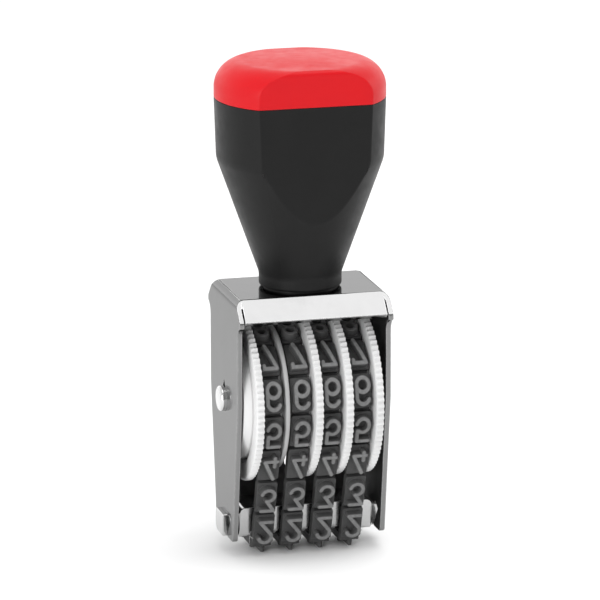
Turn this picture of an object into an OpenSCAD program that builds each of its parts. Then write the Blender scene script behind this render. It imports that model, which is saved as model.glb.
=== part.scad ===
// Hand numbering stamp with four digit bands.
// Millimetres. The print face is at z = 0, the axle runs along X, and the digits are read from -Y.

/* [Frame] */
// Sheet thickness of the frame
frame_t = 0.95; // [0.8:0.05:1.2]
// Height of the frame's top face above the wheels
head_room = 4.9; // [4.6:0.1:8]
// How far the side plates reach below the platen
foot_drop = 0.1; // [0:0.1:0.8]
// Sheet left beside each slot for the platen's ends
foot_margin = 2.65; // [2:0.05:4]
// Outside radius of the bends between the top and the side plates
frame_bend_r = 1.6; // [1.3:0.1:2.5]
// Depth of the flat top between the two sloping lips
frame_top_depth = 16.3; // [14:0.1:17]
// Depth over the two lips
frame_lip_depth = 23.3; // [22:0.1:27]
// Drop of each lip below the top face
frame_lip_drop = 3.5; // [2.5:0.1:4]
// Slit between a lip's end and the side plate
frame_lip_slit = 0.1; // [0.1:0.05:0.4]
// Depth of the side plates at the axle
frame_side_depth = 19.8; // [18:0.1:24]
// Width of the notch above each axle bore
notch_w = 1.8; // [1.2:0.1:2.4]
// Height of the notch above each axle bore
notch_h = 1.1; // [0.6:0.1:1.6]

/* [Axle] */
// Height of the axle above the print face
axle_z = 28.1; // [26.5:0.1:31]
// Diameter of the axle
axle_d = 4.6; // [3.8:0.1:5]
// Length of axle that stands out of each side plate
axle_stub = 1.1; // [0.8:0.1:2]
// Depth of the clip grooves in the axle
groove_depth = 0.5; // [0.3:0.05:0.7]
// Thickness of the axle clips
clip_t = 0.6; // [0.4:0.05:0.65]
// How far the axle clips stand out round the axle
clip_rise = 1.9; // [1.5:0.1:2.5]

/* [Bands] */
// Width of each digit band
band_w = 3.7; // [3:0.1:3.9]
// Gap between a band and the flange beside it
flange_gap = 0.225; // [0.15:0.025:0.4]
// Gap between a band and the thin cheek beside it
cheek_gap = 0.35; // [0.2:0.05:0.5]
// Space between the left side plate and the first flange
left_space = 1.45; // [1.3:0.05:2.5]
// Space between the last flange and the right side plate
right_space = 1.6; // [1.5:0.05:2.5]
// Number of places on each band
band_places = 15; // [13:1:16]
// Thickness of the band between its blocks
belt_t = 0.7; // [0.5:0.05:0.8]
// How far the blocks stand out past each side of the band
belt_inset = 0.2; // [0.1:0.05:0.4]
// Height of a block above the band
block_h = 1.1; // [0.8:0.05:1.3]
// How far a block reaches past its digit at each end
block_margin = 0.25; // [0.1:0.05:0.3]
// Height of a raised digit above its block
relief_h = 1.25; // [0.8:0.05:1.4]
// Height of a printed digit
digit_h = 5; // [4:0.1:5]
// Width of a printed digit
digit_w = 3; // [2.4:0.1:3.2]
// Stroke width of a digit
digit_stroke = 0.75; // [0.5:0.05:0.9]
// How far the printing digit stands in front of the middle of the platen
band_offset = 0.7; // [0:0.1:1]

/* [Wheels] */
// How far the thumb flanges stand out round the drums
flange_rise = 4.6; // [4:0.1:5.2]
// Thickness of a thumb flange at its rim
flange_t = 1.35; // [1:0.05:1.4]
// Number of teeth round a thumb flange
flange_teeth = 84; // [60:1:96]
// Depth of the teeth
tooth_depth = 0.38; // [0.15:0.01:0.4]
// Diameter of the drums that carry the bands
drum_d = 20.6; // [18:0.1:22]
// Wall of the drums
drum_wall = 1.4; // [1:0.1:2]
// Wall of the wheel hubs round the axle
hub_wall = 1.35; // [1:0.05:2.2]
// How far the thin cheek stands out round the first drum
cheek_rise = 2.8; // [2.2:0.1:3.8]
// Thickness of the cheek
cheek_t = 0.8; // [0.6:0.05:0.85]

/* [Platen] */
// Flat width of the platen under the bands
platen_flat = 3.8; // [3:0.1:4.6]
// Radius of the platen's lower edges
platen_r = 1.5; // [1:0.1:2]
// Slope of the platen's walls from upright
platen_slope = 10; // [6:1:14]
// Height of the platen
platen_h = 5.6; // [5:0.1:7]
// Height of the platen's ends in the side plates
ear_h = 4; // [3:0.1:4.5]
// Length of platen that stands out of each side plate
ear_stub = 0.85; // [0.5:0.05:1.5]
// Depth of the platen's ends, from the rear
ear_depth = 5.2; // [4:0.1:5.6]
// Space between the platen's body and each side plate
platen_shoulder = 0.8; // [0.4:0.1:1.2]

/* [Handle] */
// Diameter of the handle's neck
neck_d = 14.7; // [13.5:0.1:16]
// Height of the straight part of the neck
neck_h = 2.25; // [1.5:0.05:4]
// Height of the conical part of the grip
cone_h = 20.85; // [18:0.1:26]
// Diameter at the top of the cone
shoulder_d = 29.64; // [27:0.1:34]
// Height of the upper part of the grip
collar_h = 10.8; // [8:0.1:14]
// Diameter at the seam between grip and cap
seam_d = 30.34; // [28:0.1:35]
// Depth over the handle's front and rear flats
flat_depth = 22.4; // [20:0.1:26]
// Height of the cap above the seam
cap_h = 6.9; // [5.5:0.1:9]
// Radius of the cap's upper edge
cap_r = 4.8; // [3:0.1:5.5]
// Radius of the cap's edge along the flats
cap_flat_r = 0.8; // [0.4:0.1:1.5]
// Wall of the grip and the cap
handle_wall = 1.8; // [1.4:0.1:2.4]
// Length of the cap's plug inside the grip
plug_h = 4; // [3:0.1:6]
// Wall of the cap's plug
plug_wall = 1.2; // [0.9:0.1:1.6]
// How far the foot under the neck is set in from the neck
foot_inset = 0.7; // [0.4:0.1:1.2]
// Height of the gap under the neck
foot_h = 0.36; // [0.2:0.02:0.6]

/* [Fastening] */
// Diameter of the handle screw
screw_d = 4; // [3:0.5:5]
// Length of the handle screw under its head
screw_len = 12; // [11.5:0.5:14]
// Diameter of the screw's head
screw_head_d = 7.8; // [7:0.1:9]
// Height of the screw's head
screw_head_h = 1.9; // [1.4:0.1:2.2]
// Thickness of the lock washer
washer_t = 0.6; // [0.4:0.1:1]
// Width of the nut across its flats
nut_af = 7; // [6:0.5:8]
// Thickness of the nut
nut_h = 3.2; // [2.4:0.1:4]
// Length of screw that stands out above the nut
screw_tail = 1.3; // [0.5:0.1:2.5]

/* [Clearances] */
// Running clearance round the axle, on the radius
run_gap = 0.05; // [0.02:0.01:0.1]
// Side clearance between parts that turn past each other
side_gap = 0.15; // [0.1:0.05:0.25]
// Clearance between a drum and its band
drum_gap = 0.15; // [0.1:0.05:0.3]
// Clearance between a band and the platen
band_gap = 0.05; // [0.02:0.01:0.15]
// Clearance of fixed fits, on each side
fit_gap = 0.1; // [0.05:0.05:0.2]
// Clearance round the screw
screw_gap = 0.15; // [0.1:0.05:0.4]

/* [Hidden] */
$fn = 96;
eps = 0.01;

// Wheels and axle
flange_d = drum_d + 2 * flange_rise;
cheek_d = drum_d + 2 * cheek_rise;
bore_d = axle_d + 2 * run_gap;
hub_d = bore_d + 2 * hub_wall;
groove_d = axle_d - 2 * groove_depth;
clip_d = axle_d + 2 * clip_rise;

// Widths: the first wheel has its flange on the left, the others on the right
flange_sides = [-1, 1, 1, 1];
band_pitch = band_w + flange_t + 2 * flange_gap;
first_pitch = band_w + cheek_t + 2 * cheek_gap;
end_w = flange_t + flange_gap + band_w / 2;
inner_x = (left_space + end_w + first_pitch + 2 * band_pitch + end_w + right_space) / 2;
frame_w = 2 * (inner_x + frame_t);
band_1_x = -inner_x + left_space + end_w;
band_2_x = band_1_x + first_pitch;
band_xs = [band_1_x, band_2_x, band_2_x + band_pitch, band_2_x + 2 * band_pitch];
cheek_x = band_1_x + band_w / 2 + cheek_gap;
left_clip_x = -inner_x + side_gap / 2;
right_clip_x = inner_x - clip_t - side_gap / 2;
first_hub_x = left_clip_x + clip_t + side_gap;
last_hub_x = inner_x - right_space + side_gap / 2;
washer_x = last_hub_x + side_gap;

// Bands: the places lie on a line at pitch_h above the band's inner face
pitch_h = belt_t + block_h - 0.15;
band_h = belt_t + block_h + relief_h;
belt_w = band_w - 2 * belt_inset;
block_len = digit_h + 2 * block_margin;
wheel_in_r = drum_d / 2 + drum_gap;
nose_in_r = platen_r + band_gap;
platen_z = band_h + band_gap;
nose_z = platen_z + platen_r;
nose_y = platen_flat / 2;
centre_d = norm([nose_y, axle_z - nose_z]);
run_slope = asin((wheel_in_r - nose_in_r) / centre_d) - atan(nose_y / (axle_z - nose_z));
run_len = sqrt(pow(centre_d, 2) - pow(wheel_in_r - nose_in_r, 2));
nose_turn = 90 - run_slope;
wheel_turn = 180 + 2 * run_slope;
nose_arc = (nose_in_r + pitch_h) * nose_turn * PI / 180;
wheel_arc = (wheel_in_r + pitch_h) * wheel_turn * PI / 180;
loop_len = 2 * (nose_y + nose_arc + run_len) + wheel_arc;
place_len = loop_len / band_places;
DIGITS = ["1", "2", "3", "4", "5", "6", "7", "8", "9", "0", ".", "-", "/", "+", " ", " "];

// Frame heights
frame_top_z = axle_z + flange_d / 2 + head_room;
plate_under_z = frame_top_z - frame_t;
frame_bottom_z = platen_z - foot_drop;
slot_y = nose_y + platen_r + fit_gap;
ear_front = nose_y + platen_r - ear_depth;

// Handle
neck_z = frame_top_z + foot_h;
cone_z = neck_z + neck_h;
shoulder_z = cone_z + cone_h;
seam_z = shoulder_z + collar_h;
cap_top_z = seam_z + cap_h;
cone_rise = (shoulder_d - neck_d) / 2 / cone_h;
floor_z = plate_under_z - washer_t + screw_len - screw_tail;
grip_floor_r = neck_d / 2 + (floor_z - cone_z) * cone_rise - handle_wall;
mouth_r = seam_d / 2 - handle_wall;
mouth_depth = flat_depth - 2 * handle_wall;
plug_depth = mouth_depth - 2 * fit_gap;

// Points along an arc round [cy, cz]
function arc_points(c, r, a0, a1, n) =
    [for (i = [0:n]) c + r * [cos(a0 + (a1 - a0) * i / n), sin(a0 + (a1 - a0) * i / n)]];

// Outline of the band's loop at height h above its inner face, in [y, z]
function loop_outline(h) = concat(
    arc_points([0, axle_z], wheel_in_r + h, -run_slope, 180 + run_slope, 48),
    arc_points([-nose_y, nose_z], nose_in_r + h, 180 + run_slope, 270, 8),
    arc_points([nose_y, nose_z], nose_in_r + h, 270, 360 - run_slope, 8)
);

// Place on the pitch line at distance s from the middle of the nose, up the front: [y, z, turn]
function place_at(s) =
    s < nose_y ? [-s, nose_z - nose_in_r - pitch_h, 0]
    : s < nose_y + nose_arc ? corner_place((s - nose_y) / nose_arc * nose_turn)
    : s < nose_y + nose_arc + run_len ? run_place(s - nose_y - nose_arc)
    : s < loop_len / 2 ? wheel_place(s - nose_y - nose_arc - run_len)
    : mirrored(place_at(loop_len - s));
function outward(turn) = [-sin(turn), -cos(turn)];
function corner_place(turn) =
    concat([-nose_y, nose_z] + (nose_in_r + pitch_h) * outward(turn), [turn]);
function run_place(d) =
    let (p = corner_place(nose_turn)) [p[0] - d * cos(nose_turn), p[1] + d * sin(nose_turn), nose_turn];
function wheel_place(d) =
    let (turn = nose_turn + d / (wheel_in_r + pitch_h) * 180 / PI)
    concat([0, axle_z] + (wheel_in_r + pitch_h) * outward(turn), [turn]);
function mirrored(p) = [-p[0], p[1], 360 - p[2]];

// Extrudes an outline drawn in [y, z] along X, from x0 to x1
module along_x(x0, x1) {
    translate([x0, 0, 0]) rotate([90, 0, 90]) linear_extrude(x1 - x0) children();
}

// Disc or rod on the axle's line, from x0 to x1
module axle_disc(x0, x1, d) {
    translate([x0, 0, axle_z]) rotate([0, 90, 0]) cylinder(h = x1 - x0, d = d);
}

// Straight stroke of a digit, in the digit's own frame with its foot at [0, 0]
module stroke(p, q) {
    run = (q - p) / norm(q - p);
    side = [-run[1], run[0]] * digit_stroke / 2;
    polygon([p - side, q - side, q + side, p + side]);
}

// Part of a ring with the stroke's width, from angle a0 to a1
module bow(c, a0, a1) {
    r = digit_w / 2;
    polygon(concat(arc_points(c, r, a0, a1, 12), arc_points(c, r - digit_stroke, a1, a0, 12)));
}

// Polygon of an outer outline with one hole
module pierced(outer, hole) {
    n = len(outer);
    polygon(concat(outer, hole), paths = [[for (i = [0:n - 1]) i], [for (i = [0:len(hole) - 1]) n + i]]);
}

// Upright ring with straight sides, from z0 to z1
module oval(z0, z1) {
    r = min(digit_w, z1 - z0) / 2;
    function sides(inset) = concat(
        arc_points([0, z1 - r], r - inset, 0, 180, 10),
        arc_points([0, z0 + r - eps], r - inset, 180, 360, 10)
    );
    pierced(sides(0), sides(digit_stroke));
}

// The six, and the nine when it is turned round
module six() {
    r = digit_w / 2;
    t = digit_stroke;
    top = [0, digit_h - r];
    join = acos((t - r) / r);
    pierced(
        concat(
            arc_points(top, r, 20, 180, 12),
            arc_points([0, r], r, 180, 360 + join, 20),
            arc_points(top, r - t, 180, 20, 10)
        ),
        arc_points([0, r], r - t, 0, 345, 15)
    );
}

// A digit or sign, standing on [0, 0] and centred across
module digit(d) {
    w = digit_w / 2;
    h = digit_h;
    t = digit_stroke;
    bar_z = 0.875;
    stem_x = 0.275;
    if (d == "0") oval(0, h);
    if (d == "1") polygon([
        [stem_x - t / 2, 0], [stem_x + t / 2, 0], [stem_x + t / 2, h], [stem_x - t / 2, h],
        [-w + 0.4, h - 1.4 + t / 2], [-w + 0.4, h - 1.4 - t / 2], [stem_x - t / 2, h - 1.2 * t]
    ]);
    if (d == "2") {
        bow([0, h - w], -25, 180);
        polygon([
            [-w, 0], [w, 0], [w, t], [-0.3, t],
            [w - 0.1, h - w - 0.45], [w - t, h - w - 0.2], [-w, t]
        ]);
    }
    if (d == "3") {
        bow([0, w], -170, 100);
        polygon([
            [-w, h], [w, h], [w, h - t], [0.45, 2 * w - 0.3], [-0.05, 2 * w - t + 0.1],
            [-0.75, 2 * w - t + 0.1], [w - 1.15 * t, h - t], [-w, h - t]
        ]);
    }
    if (d == "4") pierced(
        [
            [-w, bar_z], [stem_x, bar_z], [stem_x, 0], [stem_x + t, 0],
            [stem_x + t, bar_z], [w, bar_z], [w, bar_z + t], [stem_x + t, bar_z + t],
            [stem_x + t, h], [stem_x - 0.8 * t, h], [-w, bar_z + 1.4 * t]
        ],
        [[stem_x, bar_z + t], [stem_x, h - 1.7 * t], [-w + 1.1 * t, bar_z + t]]
    );
    if (d == "5") {
        bow([0, w], -170, 135);
        polygon([
            [-w + 0.1, h], [w, h], [w, h - t], [-w + 0.1 + t, h - t],
            [-w + 0.1 + t, 2 * w - 0.7], [-w + 0.1, 2 * w - 0.8]
        ]);
    }
    if (d == "6") six();
    if (d == "7") polygon([
        [-w, h], [w, h], [w, h - t], [-0.75 + 1.1 * t, 0], [-0.75, 0], [w - 1.15 * t, h - t], [-w, h - t]
    ]);
    if (d == "8") {
        oval(0, h / 2 + t / 2 - 0.06);
        oval(h / 2 - t / 2, h);
    }
    if (d == "9") translate([0, h]) rotate(180) six();
    if (d == ".") translate([-t / 2, 0]) square([t, t]);
    if (d == "-" || d == "+") stroke([-w + 0.3, h / 2], [w - 0.3, h / 2]);
    if (d == "+") stroke([0, h / 2 - w + 0.3], [0, h / 2 + w - 0.3]);
    if (d == "/") stroke([-w + t / 2, 0], [w - t / 2, h]);
}

// The folded frame: top, two side plates and two sloping lips
module side_outline() {
    top_y = frame_top_depth / 2;
    lip_y = frame_lip_depth / 2;
    waist_y = frame_side_depth / 2;
    foot_y = slot_y + foot_margin;
    lip_z = frame_top_z - frame_lip_drop;
    hook_share = 1.32;
    hook_r = (lip_y - waist_y) * hook_share;
    hook_drop = 0.9;
    foot_r = 1;
    half = concat(
        [[0, frame_bottom_z]],
        arc_points([foot_y - foot_r, frame_bottom_z + foot_r], foot_r, -90, 0, 6),
        [[waist_y, axle_z + 1]],
        arc_points([waist_y + hook_r, lip_z - hook_drop - hook_r], hook_r, 180, 105, 8),
        [[lip_y - 0.1, lip_z], [top_y, frame_top_z], [0, frame_top_z]]
    );
    polygon(half);
    mirror([1, 0]) polygon(half);
}

module lip_outline() {
    top_y = frame_top_depth / 2;
    lip_y = frame_lip_depth / 2;
    slope = atan(frame_lip_drop / (lip_y - top_y));
    bend_r = frame_bend_r;
    back = bend_r * tan(slope / 2);
    lip_end = [lip_y, frame_top_z - frame_lip_drop];
    polygon(concat(
        [[0, frame_top_z]],
        arc_points([top_y - back, frame_top_z - bend_r], bend_r, 90, 90 - slope, 6),
        [lip_end, lip_end + [-sin(slope), -cos(slope)] * frame_t],
        arc_points([top_y - back, frame_top_z - bend_r], bend_r - frame_t, 90 - slope, 90, 3),
        [[0, plate_under_z]]
    ));
}

module folded_profile(grow) {
    r = frame_bend_r + grow;
    x = frame_w / 2 + grow;
    z = frame_top_z + grow;
    polygon(concat(
        [[-x, grow]], arc_points([-x + r, z - r], r, 180, 90, 8),
        arc_points([x - r, z - r], r, 90, 0, 8), [[x, grow]]
    ));
}

module frame() {
    notch_z = axle_z + axle_d / 2;
    notch_sink = 0.3;
    notch_tip = 0.3;
    slot_top_z = platen_z + ear_h;
    slot_lean = 2.7;
    slot_peak = 0.7;
    color("silver") difference() {
        union() {
            intersection() {
                along_x(-frame_w / 2, frame_w / 2) side_outline();
                rotate([90, 0, 0]) linear_extrude(frame_lip_depth + 2, center = true) difference() {
                    folded_profile(0);
                    folded_profile(-frame_t);
                }
            }
            for (side = [0, 1]) mirror([0, side, 0])
                along_x(-inner_x + frame_lip_slit, inner_x - frame_lip_slit) lip_outline();
        }
        // bores for the axle, each with the notch that lets it in
        axle_disc(-frame_w, frame_w, bore_d);
        along_x(-frame_w, frame_w) polygon([
            [-notch_w / 2, notch_z - notch_sink], [notch_w / 2, notch_z - notch_sink],
            [notch_tip / 2, notch_z + notch_h], [-notch_tip / 2, notch_z + notch_h]
        ]);
        // open slots for the platen's ends
        along_x(-frame_w, frame_w)
            polygon([
                [ear_front - fit_gap, 0], [slot_y, 0], [slot_y, slot_top_z], [ear_front - fit_gap, slot_top_z],
                [ear_front - slot_lean / 2, slot_top_z + slot_peak], [ear_front - slot_lean, slot_top_z - 0.2],
                [ear_front - fit_gap - 0.05, frame_bottom_z + 0.6]
            ]);
        translate([0, 0, plate_under_z - 1]) cylinder(h = frame_t + 2, d = screw_d + 2 * screw_gap);
    }
}

// Platen: a bar under the bands. Its ends stop short of the side plates, and an ear at each end lies in a slot
module platen_outline(r, top_z) {
    edge_y = nose_y + (platen_r - r) * (1 - sin(platen_slope)) / cos(platen_slope);
    top_y = edge_y + r / cos(platen_slope) + (top_z - platen_z - r) * tan(platen_slope);
    polygon(concat(
        arc_points([edge_y, platen_z + r], r, -90, -platen_slope, 6), [[top_y, top_z]],
        [[-top_y, top_z]], arc_points([-edge_y, platen_z + r], r, 180 + platen_slope, 270, 6)
    ));
}

module platen() {
    body_x = inner_x - platen_shoulder;
    end_x = frame_w / 2 + ear_stub;
    top_z = platen_z + platen_h;
    corner = 1;
    end_edge_r = 0.5;
    left_end = band_xs[0] - band_w / 2 - fit_gap;
    right_end = band_xs[3] + band_w / 2 + fit_gap;
    color("gainsboro") union() {
        intersection() {
            union() {
                along_x(left_end, right_end) platen_outline(platen_r, top_z);
                along_x(-body_x, left_end) platen_outline(end_edge_r, top_z);
                along_x(right_end, body_x) platen_outline(end_edge_r, top_z);
            }
            rotate([90, 0, 0]) linear_extrude(4 * platen_h, center = true) polygon(concat(
                [[-body_x, 0]], arc_points([-body_x + corner, top_z - corner], corner, 180, 90, 6),
                arc_points([body_x - corner, top_z - corner], corner, 90, 0, 6), [[body_x, 0]]
            ));
        }
        intersection() {
            along_x(-end_x, end_x) platen_outline(platen_r, top_z);
            translate([-frame_w, ear_front, 0])
                cube([2 * frame_w, ear_depth, platen_z + ear_h]);
        }
    }
}

// Axle with a rounded end and a clip groove at each side
module axle() {
    half = frame_w / 2 + axle_stub;
    r = axle_d / 2;
    edge = 0.4;
    color("lightgray") difference() {
        translate([-half, 0, axle_z]) rotate([0, 90, 0]) rotate_extrude() polygon(concat(
            [[0, 0]], arc_points([r - edge, edge], edge, -90, 0, 5),
            arc_points([r - edge, 2 * half - edge], edge, 0, 90, 5), [[0, 2 * half]]
        ));
        for (x = [left_clip_x, right_clip_x]) difference() {
            axle_disc(x - fit_gap / 2, x + clip_t + fit_gap / 2, axle_d + 1);
            axle_disc(x - 1, x + clip_t + 1, groove_d);
        }
    }
}

// E-shaped clip in an axle groove, open downwards
module axle_clip(x) {
    mouth = groove_d * 0.9;
    color("dimgray") along_x(x, x + clip_t) translate([0, axle_z]) difference() {
        circle(d = clip_d);
        circle(d = groove_d + run_gap);
        translate([-mouth / 2, -clip_d]) square([mouth, clip_d]);
        for (side = [-1, 1]) translate([side * clip_d * 0.3, clip_d * 0.06]) circle(d = clip_d * 0.17);
    }
}
module axle_clip_left() axle_clip(left_clip_x);
module axle_clip_right() axle_clip(right_clip_x);

module thrust_washer() {
    color("white") difference() {
        axle_disc(washer_x, right_clip_x - side_gap / 2, hub_d);
        axle_disc(washer_x - 1, inner_x, bore_d);
    }
}

// Thumb wheel: drum, web, hub and toothed flange
module toothed_disc(x0, x1) {
    r = flange_d / 2;
    step = 360 / flange_teeth;
    along_x(x0, x1) translate([0, axle_z]) polygon([
        for (i = [0:flange_teeth - 1], p = [[-0.16, 0], [0.16, 0], [0.38, 1], [0.62, 1]])
            (r - tooth_depth * p[1]) * [cos((i + p[0]) * step), sin((i + p[0]) * step)]
    ]);
}

module wheel(i) {
    side = flange_sides[i];
    x = band_xs[i];
    rim_in = band_w / 2 + flange_gap;
    rim_out = rim_in + flange_t;
    cheek_side = x - cheek_x - cheek_t - side_gap;
    open_end = i == 0 ? cheek_x - x : i == 1 ? cheek_side : rim_in - side_gap;
    hub_out = i == 0 ? x - first_hub_x : i == 3 ? last_hub_x - x : rim_out;
    recess = 0.35;
    recess_rim = 3.2;
    recess_d = flange_d - 2 * recess_rim;
    boss_gap = 0.25;
    boss_h = left_space - boss_gap;
    boss_r = flange_d / 2 - 4;
    boss_slope = 1;
    boss_hollow_r = clip_d / 2 + 1.4;
    color("white") translate([x, 0, 0]) mirror([side < 0 ? 1 : 0, 0, 0]) difference() {
        union() {
            toothed_disc(rim_in, rim_out);
            axle_disc(-open_end, rim_in + eps, drum_d);
            axle_disc(rim_in, hub_out, hub_d);
            if (i == 0) translate([rim_out - eps, 0, axle_z]) rotate([0, 90, 0]) rotate_extrude() polygon([
                [boss_hollow_r, 0], [boss_r, 0], [boss_r, eps], [boss_r - boss_slope, boss_h],
                [boss_hollow_r, boss_h]
            ]);
        }
        difference() {
            axle_disc(-open_end - 1, rim_in, drum_d - 2 * drum_wall);
            axle_disc(-open_end - 2, rim_in + 1, hub_d);
        }
        if (i == 3) difference() {
            axle_disc(rim_out - recess, rim_out + 1, recess_d);
            axle_disc(rim_out - 1, hub_out + 1, hub_d);
        }
        axle_disc(-2 * band_pitch, 2 * band_pitch, bore_d);
    }
}
module wheel_1() wheel(0);
module wheel_2() wheel(1);
module wheel_3() wheel(2);
module wheel_4() wheel(3);

// Thin cheek on the open end of the first drum
module wheel_cheek() {
    color("white") difference() {
        axle_disc(cheek_x, cheek_x + cheek_t, cheek_d);
        axle_disc(cheek_x - 1, cheek_x + cheek_t + 1, bore_d);
    }
}

// Endless band: belt, one block at each place, and a raised digit on each block
module band(i) {
    x = band_xs[i];
    color([0.35, 0.35, 0.35]) union() {
        along_x(x - belt_w / 2, x + belt_w / 2) pierced(loop_outline(belt_t), loop_outline(0));
        for (k = [0:band_places - 1]) {
            p = place_at((k * place_len + band_offset) % loop_len);
            translate([x, p[0], p[1]]) rotate([180 - p[2], 0, 0]) {
                translate([0, 0, belt_t / 2 - pitch_h]) linear_extrude(belt_t / 2 + block_h)
                    square([band_w, block_len], center = true);
                translate([0, 0, belt_t + block_h - pitch_h - eps]) linear_extrude(relief_h + eps)
                    mirror([0, 1]) translate([0, -digit_h / 2]) digit(DIGITS[k]);
            }
        }
    }
}
module band_1() band(0);
module band_2() band(1);
module band_3() band(2);
module band_4() band(3);

// Handle: round with a flat at the front and the rear
module between_flats(depth) {
    intersection() {
        children();
        translate([-seam_d, -depth / 2, 0]) cube([2 * seam_d, depth, 2 * cap_top_z]);
    }
}

module handle_grip() {
    color([0.16, 0.16, 0.17]) difference() {
        between_flats(flat_depth) rotate_extrude() polygon([
            [0, frame_top_z], [neck_d / 2 - foot_inset, frame_top_z], [neck_d / 2 - foot_inset, neck_z],
            [neck_d / 2, neck_z], [neck_d / 2, cone_z], [shoulder_d / 2, shoulder_z],
            [seam_d / 2, seam_z], [0, seam_z]
        ]);
        between_flats(mouth_depth) rotate_extrude() polygon([
            [0, floor_z], [grip_floor_r, floor_z], [shoulder_d / 2 - handle_wall, shoulder_z],
            [mouth_r, seam_z], [mouth_r, seam_z + 1], [0, seam_z + 1]
        ]);
        cylinder(h = floor_z + 1, d = screw_d + 2 * screw_gap);
        translate([0, 0, floor_z - nut_h - fit_gap])
            cylinder(h = nut_h + 1, d = (nut_af + 2 * fit_gap) / cos(30), $fn = 6);
    }
}

module handle_cap() {
    plug_r = mouth_r - fit_gap - plug_h * (seam_d - shoulder_d) / 2 / collar_h;
    inner_top = cap_top_z - handle_wall;
    color([0.85, 0.1, 0.12]) difference() {
        union() {
            intersection() {
                rotate_extrude() polygon(concat(
                    [[0, seam_z], [seam_d / 2, seam_z]],
                    arc_points([seam_d / 2 - cap_r, cap_top_z - cap_r], cap_r, 0, 90, 10),
                    [[0, cap_top_z]]
                ));
                along_x(-seam_d, seam_d) polygon(concat(
                    [[-flat_depth / 2, seam_z], [flat_depth / 2, seam_z]],
                    arc_points([flat_depth / 2 - cap_flat_r, cap_top_z - cap_flat_r], cap_flat_r, 0, 90, 4),
                    arc_points([-flat_depth / 2 + cap_flat_r, cap_top_z - cap_flat_r], cap_flat_r, 90, 180, 4)
                ));
            }
            between_flats(plug_depth)
                translate([0, 0, seam_z - plug_h]) cylinder(h = plug_h + 1, r = plug_r);
        }
        between_flats(plug_depth - 2 * plug_wall) translate([0, 0, seam_z - plug_h - 1])
            cylinder(h = inner_top - seam_z + plug_h + 1, r = plug_r - plug_wall);
    }
}

// Screw up through the frame into the nut in the grip's floor
module handle_screw() {
    seat_z = plate_under_z - washer_t;
    slot = 1;
    color("silver") difference() {
        union() {
            translate([0, 0, seat_z - screw_head_h]) cylinder(h = screw_head_h, d = screw_head_d);
            translate([0, 0, seat_z - eps]) cylinder(h = screw_len + eps, d = screw_d);
        }
        translate([-screw_head_d, -slot / 2, seat_z - screw_head_h - 1])
            cube([2 * screw_head_d, slot, 1 + screw_head_h / 2]);
    }
}

module lock_washer() {
    color("silver") translate([0, 0, plate_under_z - washer_t]) difference() {
        cylinder(h = washer_t, d = screw_head_d + 0.6);
        translate([0, 0, -1]) cylinder(h = washer_t + 2, d = screw_d + 2 * screw_gap);
    }
}

module handle_nut() {
    color("silver") translate([0, 0, floor_z - nut_h]) difference() {
        cylinder(h = nut_h, d = nut_af / cos(30), $fn = 6);
        translate([0, 0, -1]) cylinder(h = nut_h + 2, d = screw_d + run_gap);
    }
}

frame();
platen();
axle();
axle_clip_left();
axle_clip_right();
thrust_washer();
wheel_1();
wheel_cheek();
wheel_2();
wheel_3();
wheel_4();
band_1();
band_2();
band_3();
band_4();
handle_grip();
handle_cap();
handle_screw();
lock_washer();
handle_nut();
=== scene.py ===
"""Looks of a hand numbering stamp: four digit bands in a folded metal frame, under a waisted handle.

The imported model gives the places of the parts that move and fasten. The classes here build the shown pieces
round them. Their sizes are millimetres. Meshes, finishes, lights and the floor are in metres.
"""

import logging
import math
from collections.abc import Sequence
from dataclasses import dataclass, field, replace
from enum import Enum

import bmesh
import bpy
from bmesh.types import BMEdge, BMesh, BMFace, BMVert
from mathutils import Matrix, Vector


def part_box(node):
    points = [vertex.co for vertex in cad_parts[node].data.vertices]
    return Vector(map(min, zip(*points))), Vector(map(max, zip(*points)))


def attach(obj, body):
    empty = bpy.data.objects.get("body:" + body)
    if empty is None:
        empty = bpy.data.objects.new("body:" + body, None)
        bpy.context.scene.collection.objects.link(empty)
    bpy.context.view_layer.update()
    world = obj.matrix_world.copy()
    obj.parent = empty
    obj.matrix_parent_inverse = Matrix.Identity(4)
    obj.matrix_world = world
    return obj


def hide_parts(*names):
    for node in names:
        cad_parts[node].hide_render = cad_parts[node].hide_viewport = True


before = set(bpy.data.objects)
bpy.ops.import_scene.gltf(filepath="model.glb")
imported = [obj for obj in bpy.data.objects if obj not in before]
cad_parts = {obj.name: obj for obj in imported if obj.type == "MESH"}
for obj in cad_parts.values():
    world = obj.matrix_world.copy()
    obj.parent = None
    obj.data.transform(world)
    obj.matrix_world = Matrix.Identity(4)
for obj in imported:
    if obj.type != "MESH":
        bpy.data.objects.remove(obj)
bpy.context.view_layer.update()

log = logging.getLogger("stamp")
MM = 0.001
WELD = 0.002 * MM
CAD_WELD = 0.001 * MM
CAD_FLAT = 0.4
NOISE_SPAN = (0.35, 0.65)
DRIFT_SPAN = (0.3, 0.7)
# Name of the mask of the digit tops that get the painted highlight.
TOP_HIGHLIGHT_MASK = "raised"
Point = tuple[float, float]
Colour = tuple[float, float, float, float]


class Slot(Enum):
    """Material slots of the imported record."""

    SHEET = "plated_sheet"
    BAR = "plated_bar"
    STEEL = "bright_steel"
    SPRING = "spring_steel"
    WHITE = "white_plastic"
    RUBBER = "grey_rubber"
    BLACK = "black_plastic"
    RED = "red_plastic"
    ZINC = "zinc_steel"


class Body(Enum):
    """Bodies that the pieces ride on."""

    STAMP = "stamp"
    WHEEL_1 = "thumb_wheel_1"
    WHEEL_2 = "thumb_wheel_2"
    WHEEL_3 = "thumb_wheel_3"
    WHEEL_4 = "thumb_wheel_4"


# Mesh steps


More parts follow.
